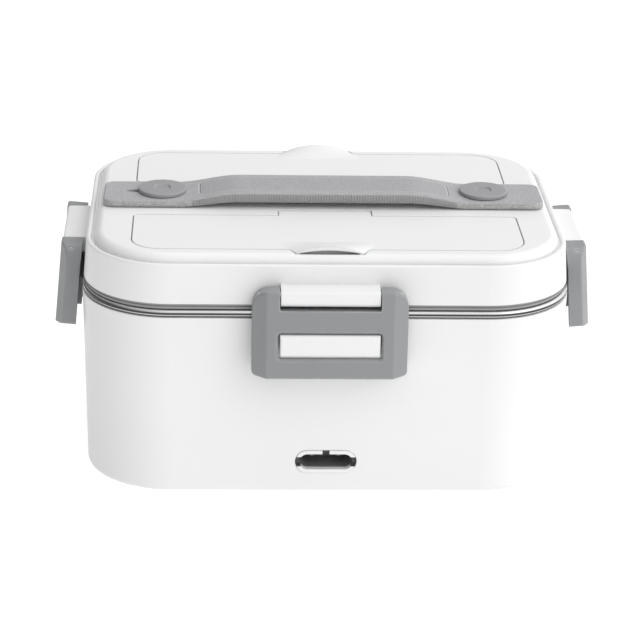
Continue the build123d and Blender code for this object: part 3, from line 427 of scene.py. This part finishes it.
def strap_piece(name, hand):
    """Half of the strap, from the middle to one end."""
    stations = []
    x = 0.0
    while x < STRAP_HALF - CORNER:
        stations.append((x, 0.0))
        x += 1.0
    for i in range(13):
        a = math.radians(90.0 * i / 12)
        stations.append((STRAP_HALF - CORNER + CORNER * math.sin(a) * 0.999, 0.9 * smooth((i - 8) / 4)))
    mesh = bpy.data.meshes.new(name)
    verts, faces = [], []
    count = None
    for x, drop in stations:
        ring = strap_section(x, drop)
        count = len(ring)
        for y, z in ring:
            verts.append((hand * x * MM, y * MM, z * MM))
    for i in range(len(stations) - 1):
        for j in range(count):
            a, b = i * count + j, i * count + (j + 1) % count
            c, d = b + count, a + count
            faces.append((a, d, c, b) if hand > 0 else (a, b, c, d))
    last = (len(stations) - 1) * count
    cap = tuple(range(last, last + count))
    faces.append(cap if hand < 0 else tuple(reversed(cap)))
    start = tuple(range(count))
    faces.append(start if hand > 0 else tuple(reversed(start)))
    mesh.from_pydata(verts, [], faces)
    mesh.validate()
    for polygon in mesh.polygons:
        polygon.use_smooth = True
    piece = bpy.data.objects.new(name, mesh)
    scene.collection.objects.link(piece)
    return piece


def cut_slot(piece, hand):
    """Cuts the strap's slot, which ends in a point beyond the button."""
    outline = []
    for i in range(13):
        a = math.radians(90.0 + 180.0 * i / 12)
        outline.append((STUD + SLOT_RADIUS * math.cos(a), SLOT_RADIUS * math.sin(a)))
    taper = ((10.7, 0.8), (13.2, 0.62), (15.2, 0.36), (16.2, 0.12), (16.5, 0.0))
    outline += [(STUD + out, -SLOT_RADIUS * part) for out, part in taper]
    outline += [(STUD + out, SLOT_RADIUS * part) for out, part in reversed(taper[:-1])]
    n = len(outline)
    verts = [(hand * x * MM, y * MM, z * MM) for z in (110.0, 118.0) for x, y in outline]
    faces = [tuple(range(n)), tuple(reversed(range(n, 2 * n)))]
    faces += [(i, i + n, (i + 1) % n + n, (i + 1) % n) for i in range(n)]
    mesh = bpy.data.meshes.new("slot_cutter")
    mesh.from_pydata(verts, [], faces)
    cutter = bpy.data.objects.new("slot_cutter", mesh)
    scene.collection.objects.link(cutter)
    cut = piece.modifiers.new("slot", "BOOLEAN")
    cut.operation = "DIFFERENCE"
    cut.solver = "EXACT"
    cut.object = cutter
    bpy.context.view_layer.update()
    graph = bpy.context.evaluated_depsgraph_get()
    done = bpy.data.meshes.new_from_object(piece.evaluated_get(graph))
    piece.modifiers.clear()
    # The two halves meet in the middle, where neither has a wall
    shape = bmesh.new()
    shape.from_mesh(done)
    middle = [
        f for f in shape.faces
        if abs(f.calc_center_median().x) < 0.1 * MM and abs(f.normal.x) > 0.9
    ]
    bmesh.ops.delete(shape, geom=middle, context="FACES_ONLY")
    shape.to_mesh(done)
    shape.free()
    done.set_sharp_from_angle(angle=math.radians(55.0))
    piece.data = done
    bpy.data.objects.remove(cutter)
    return piece


def leather():
    s = Shader("strap_leather")
    x, y, z = s.axes()
    pebbles = s.cells(900.0, "SMOOTH_F1", smooth=0.35)
    fine = s.noise(2600.0, 3.0, 0.6)
    wrinkle = s.noise(120.0, 4.0, 0.55, distortion=0.6)
    # The pressed groove round the panel along the middle: the distance to a rounded rectangle, in millimetres
    along = s.math("ABSOLUTE", s.math("MULTIPLY", x, 1000.0))
    across = s.math("ABSOLUTE", s.math("MULTIPLY", y, 1000.0))
    px = s.math("SUBTRACT", along, PANEL_HALF_LENGTH - PANEL_CORNER)
    py = s.math("SUBTRACT", across, PANEL_HALF_WIDTH - PANEL_CORNER)
    ox, oy = s.math("MAXIMUM", px, 0.0), s.math("MAXIMUM", py, 0.0)
    outside = s.math("SQRT", s.math("ADD", s.math("MULTIPLY", ox, ox), s.math("MULTIPLY", oy, oy)))
    inside = s.math("MINIMUM", s.math("MAXIMUM", px, py), 0.0)
    distance = s.math("SUBTRACT", s.math("ADD", outside, inside), PANEL_CORNER)
    groove = s.ranged(s.math("ABSOLUTE", distance), 0.15, 0.75, 0.0, 1.0, smooth=True)
    panel = s.ranged(distance, -0.4, 0.4, 1.0, 0.0, smooth=True)
    base = s.blend(s.ranged(pebbles, 0.1, 0.6, 0.0, 1.0), (0.435, 0.435, 0.448), (0.345, 0.345, 0.356))
    base = s.blend(s.ranged(wrinkle, 0.35, 0.7, 0.0, 0.35), base, (0.32, 0.32, 0.33))
    base = s.blend(s.math("MULTIPLY", panel, 0.35), base, (0.29, 0.29, 0.298))
    base = s.blend(s.math("MULTIPLY", s.math("SUBTRACT", 1.0, groove), 0.55), base, (0.62, 0.615, 0.605))
    s.set("Base Color", base)
    s.set("Roughness", s.ranged(pebbles, 0.1, 0.7, 0.50, 0.68))
    s.set("Sheen Weight", 0.06)
    height = s.math("ADD", s.math("MULTIPLY", pebbles, -0.7), s.math("MULTIPLY", fine, 0.25))
    height = s.math("ADD", height, s.math("MULTIPLY", wrinkle, 0.6))
    grain = s.bump(height, 0.16 * MM, 0.8)
    s.set("Normal", s.bump(groove, 0.5 * MM, 1.0, grain))
    return s


def knit():
    s = Shader("strap_knit")
    x, y, z = s.axes()
    column = s.math("MULTIPLY", x, 1000.0 / 1.25)
    row = s.math("MULTIPLY", z, 1000.0 / 1.1)
    lean = s.math("PINGPONG", row, 0.5)
    thread = s.math("PINGPONG", s.math("ADD", column, s.math("MULTIPLY", lean, 1.3)), 0.5)
    wander = s.math("MULTIPLY", s.noise(420.0, 3.0, 0.6), 0.35)
    height = s.math("SUBTRACT", s.math("MULTIPLY", thread, 2.0), wander)
    tone = s.blend(s.ranged(height, 0.0, 0.8, 0.0, 1.0), (0.19, 0.19, 0.195), (0.52, 0.52, 0.525))
    wear_and_highlight = s.ranged(s.noise(70.0, 3.0), 0.35, 0.65, 0.0, 0.3)
    s.set("Base Color", s.blend(wear_and_highlight, tone, (0.36, 0.355, 0.35)))
    s.set("Roughness", 0.85)
    s.set("Sheen Weight", 0.25)
    fuzz = s.math("ADD", height, s.math("MULTIPLY", s.noise(3500.0, 2.0), 0.5))
    s.set("Normal", s.bump(fuzz, 0.35 * MM, 0.9))
    return s


def raw_edge():
    s = Shader("strap_raw_edge")
    fray = s.noise(900.0, 4.0, 0.65)
    layers = s.noise(1.0, 3.0, 0.6, s.scaled(160.0, 160.0, 2600.0))
    mixed = s.math("ADD", s.math("MULTIPLY", fray, 0.6), s.math("MULTIPLY", layers, 0.4))
    light = s.ranged(mixed, 0.35, 0.62, 0.0, 1.0)
    s.set("Base Color", s.blend(light, (0.25, 0.247, 0.243), (0.47, 0.465, 0.458)))
    s.set("Roughness", 0.75)
    s.set("Normal", s.bump(mixed, 0.25 * MM, 0.8))
    return s


leather_shader, knit_shader, edge_shader = leather(), knit(), raw_edge()
half_names = {-1: "left", 1: "right"}
for hand in (-1, 1):
    piece = cut_slot(strap_piece(f"strap_leather_{half_names[hand]}", hand), hand)
    piece.data.materials.clear()
    for shader in (leather_shader, knit_shader, edge_shader):
        piece.data.materials.append(shader.material)
    for polygon in piece.data.polygons:
        n, c = polygon.normal, polygon.center / MM
        low, high = strap_heights(c.x)
        polygon.material_index = 0
        polygon.use_smooth = True
        if abs(n.z) < 0.75 and c.z < high - 0.5:
            polygon.material_index = 1 if abs(c.x) < 60.0 and abs(c.y) > 12.0 else 2
    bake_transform(piece)
    if hand < 0:
        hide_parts("strap_left_end", "strap_left_bend", "strap_grip")
    else:
        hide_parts("strap_right_end", "strap_right_bend")


# ---------------------------------------------------------------- floor, world and studio lights

floor_mesh = bpy.data.meshes.new("floor")
size = 6.0
floor_corners = [(-size, -size, 0), (size, -size, 0), (size, size, 0), (-size, size, 0)]
floor_mesh.from_pydata(floor_corners, [], [(0, 1, 2, 3)])
floor = bpy.data.objects.new("floor", floor_mesh)
scene.collection.objects.link(floor)
paper = Shader("floor_paper")
mottle = paper.ranged(paper.noise(3.0, 2.0), 0.3, 0.7, 0.99, 1.0)
paper.set("Base Color", paper.shade((0.3, 0.3, 0.3), mottle))
paper.set("Roughness", 0.9)
paper.set("Specular IOR Level", 0.1)
paper.set("Emission Color", (1.0, 1.0, 1.0))
paper.set("Emission Strength", 0.84)
floor_mesh.materials.append(paper.material)
floor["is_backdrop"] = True

# The studio's light comes from everywhere, more from the right, the front and above than from the left
world = bpy.data.worlds.new("studio")
scene.world = world
world.use_nodes = True
sky = world.node_tree.nodes["Background"]
links, new_node = world.node_tree.links, world.node_tree.nodes.new
direction = new_node("ShaderNodeTexCoord").outputs["Generated"]
slope = new_node("ShaderNodeVectorMath")
slope.operation = "DOT_PRODUCT"
slope.inputs[1].default_value = (0.90, -0.20, 0.42)
links.new(direction, slope.inputs[0])
level = new_node("ShaderNodeMath")
level.operation = "ADD"
level.inputs[1].default_value = 0.68
links.new(slope.outputs["Value"], level.inputs[0])
floor_level = new_node("ShaderNodeMath")
floor_level.operation = "MAXIMUM"
floor_level.inputs[1].default_value = 0.08
links.new(level.outputs[0], floor_level.inputs[0])
links.new(floor_level.outputs[0], sky.inputs["Strength"])
sky.inputs["Color"].default_value = (1.0, 1.0, 1.0, 1.0)


def area_light(name, place, aim, width, height, watts):
    light = bpy.data.lights.new(name, "AREA")
    light.shape = "RECTANGLE"
    light.size, light.size_y = width, height
    light.energy = watts
    holder = bpy.data.objects.new(name, light)
    holder.location = place
    holder.rotation_mode = "QUATERNION"
    holder.rotation_quaternion = (Vector(aim) - Vector(place)).to_track_quat("-Z", "Y")
    scene.collection.objects.link(holder)


area_light("key", (1.1, -0.9, 1.2), (0, 0, 0.06), 0.9, 0.9, 2.4)
area_light("top", (0.1, 0.3, 1.4), (0, 0, 0.08), 1.2, 0.8, 2.6)

scene.view_settings.view_transform = "Standard"
scene.view_settings.look = "None"

bpy.context.view_layer.update()
low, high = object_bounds()
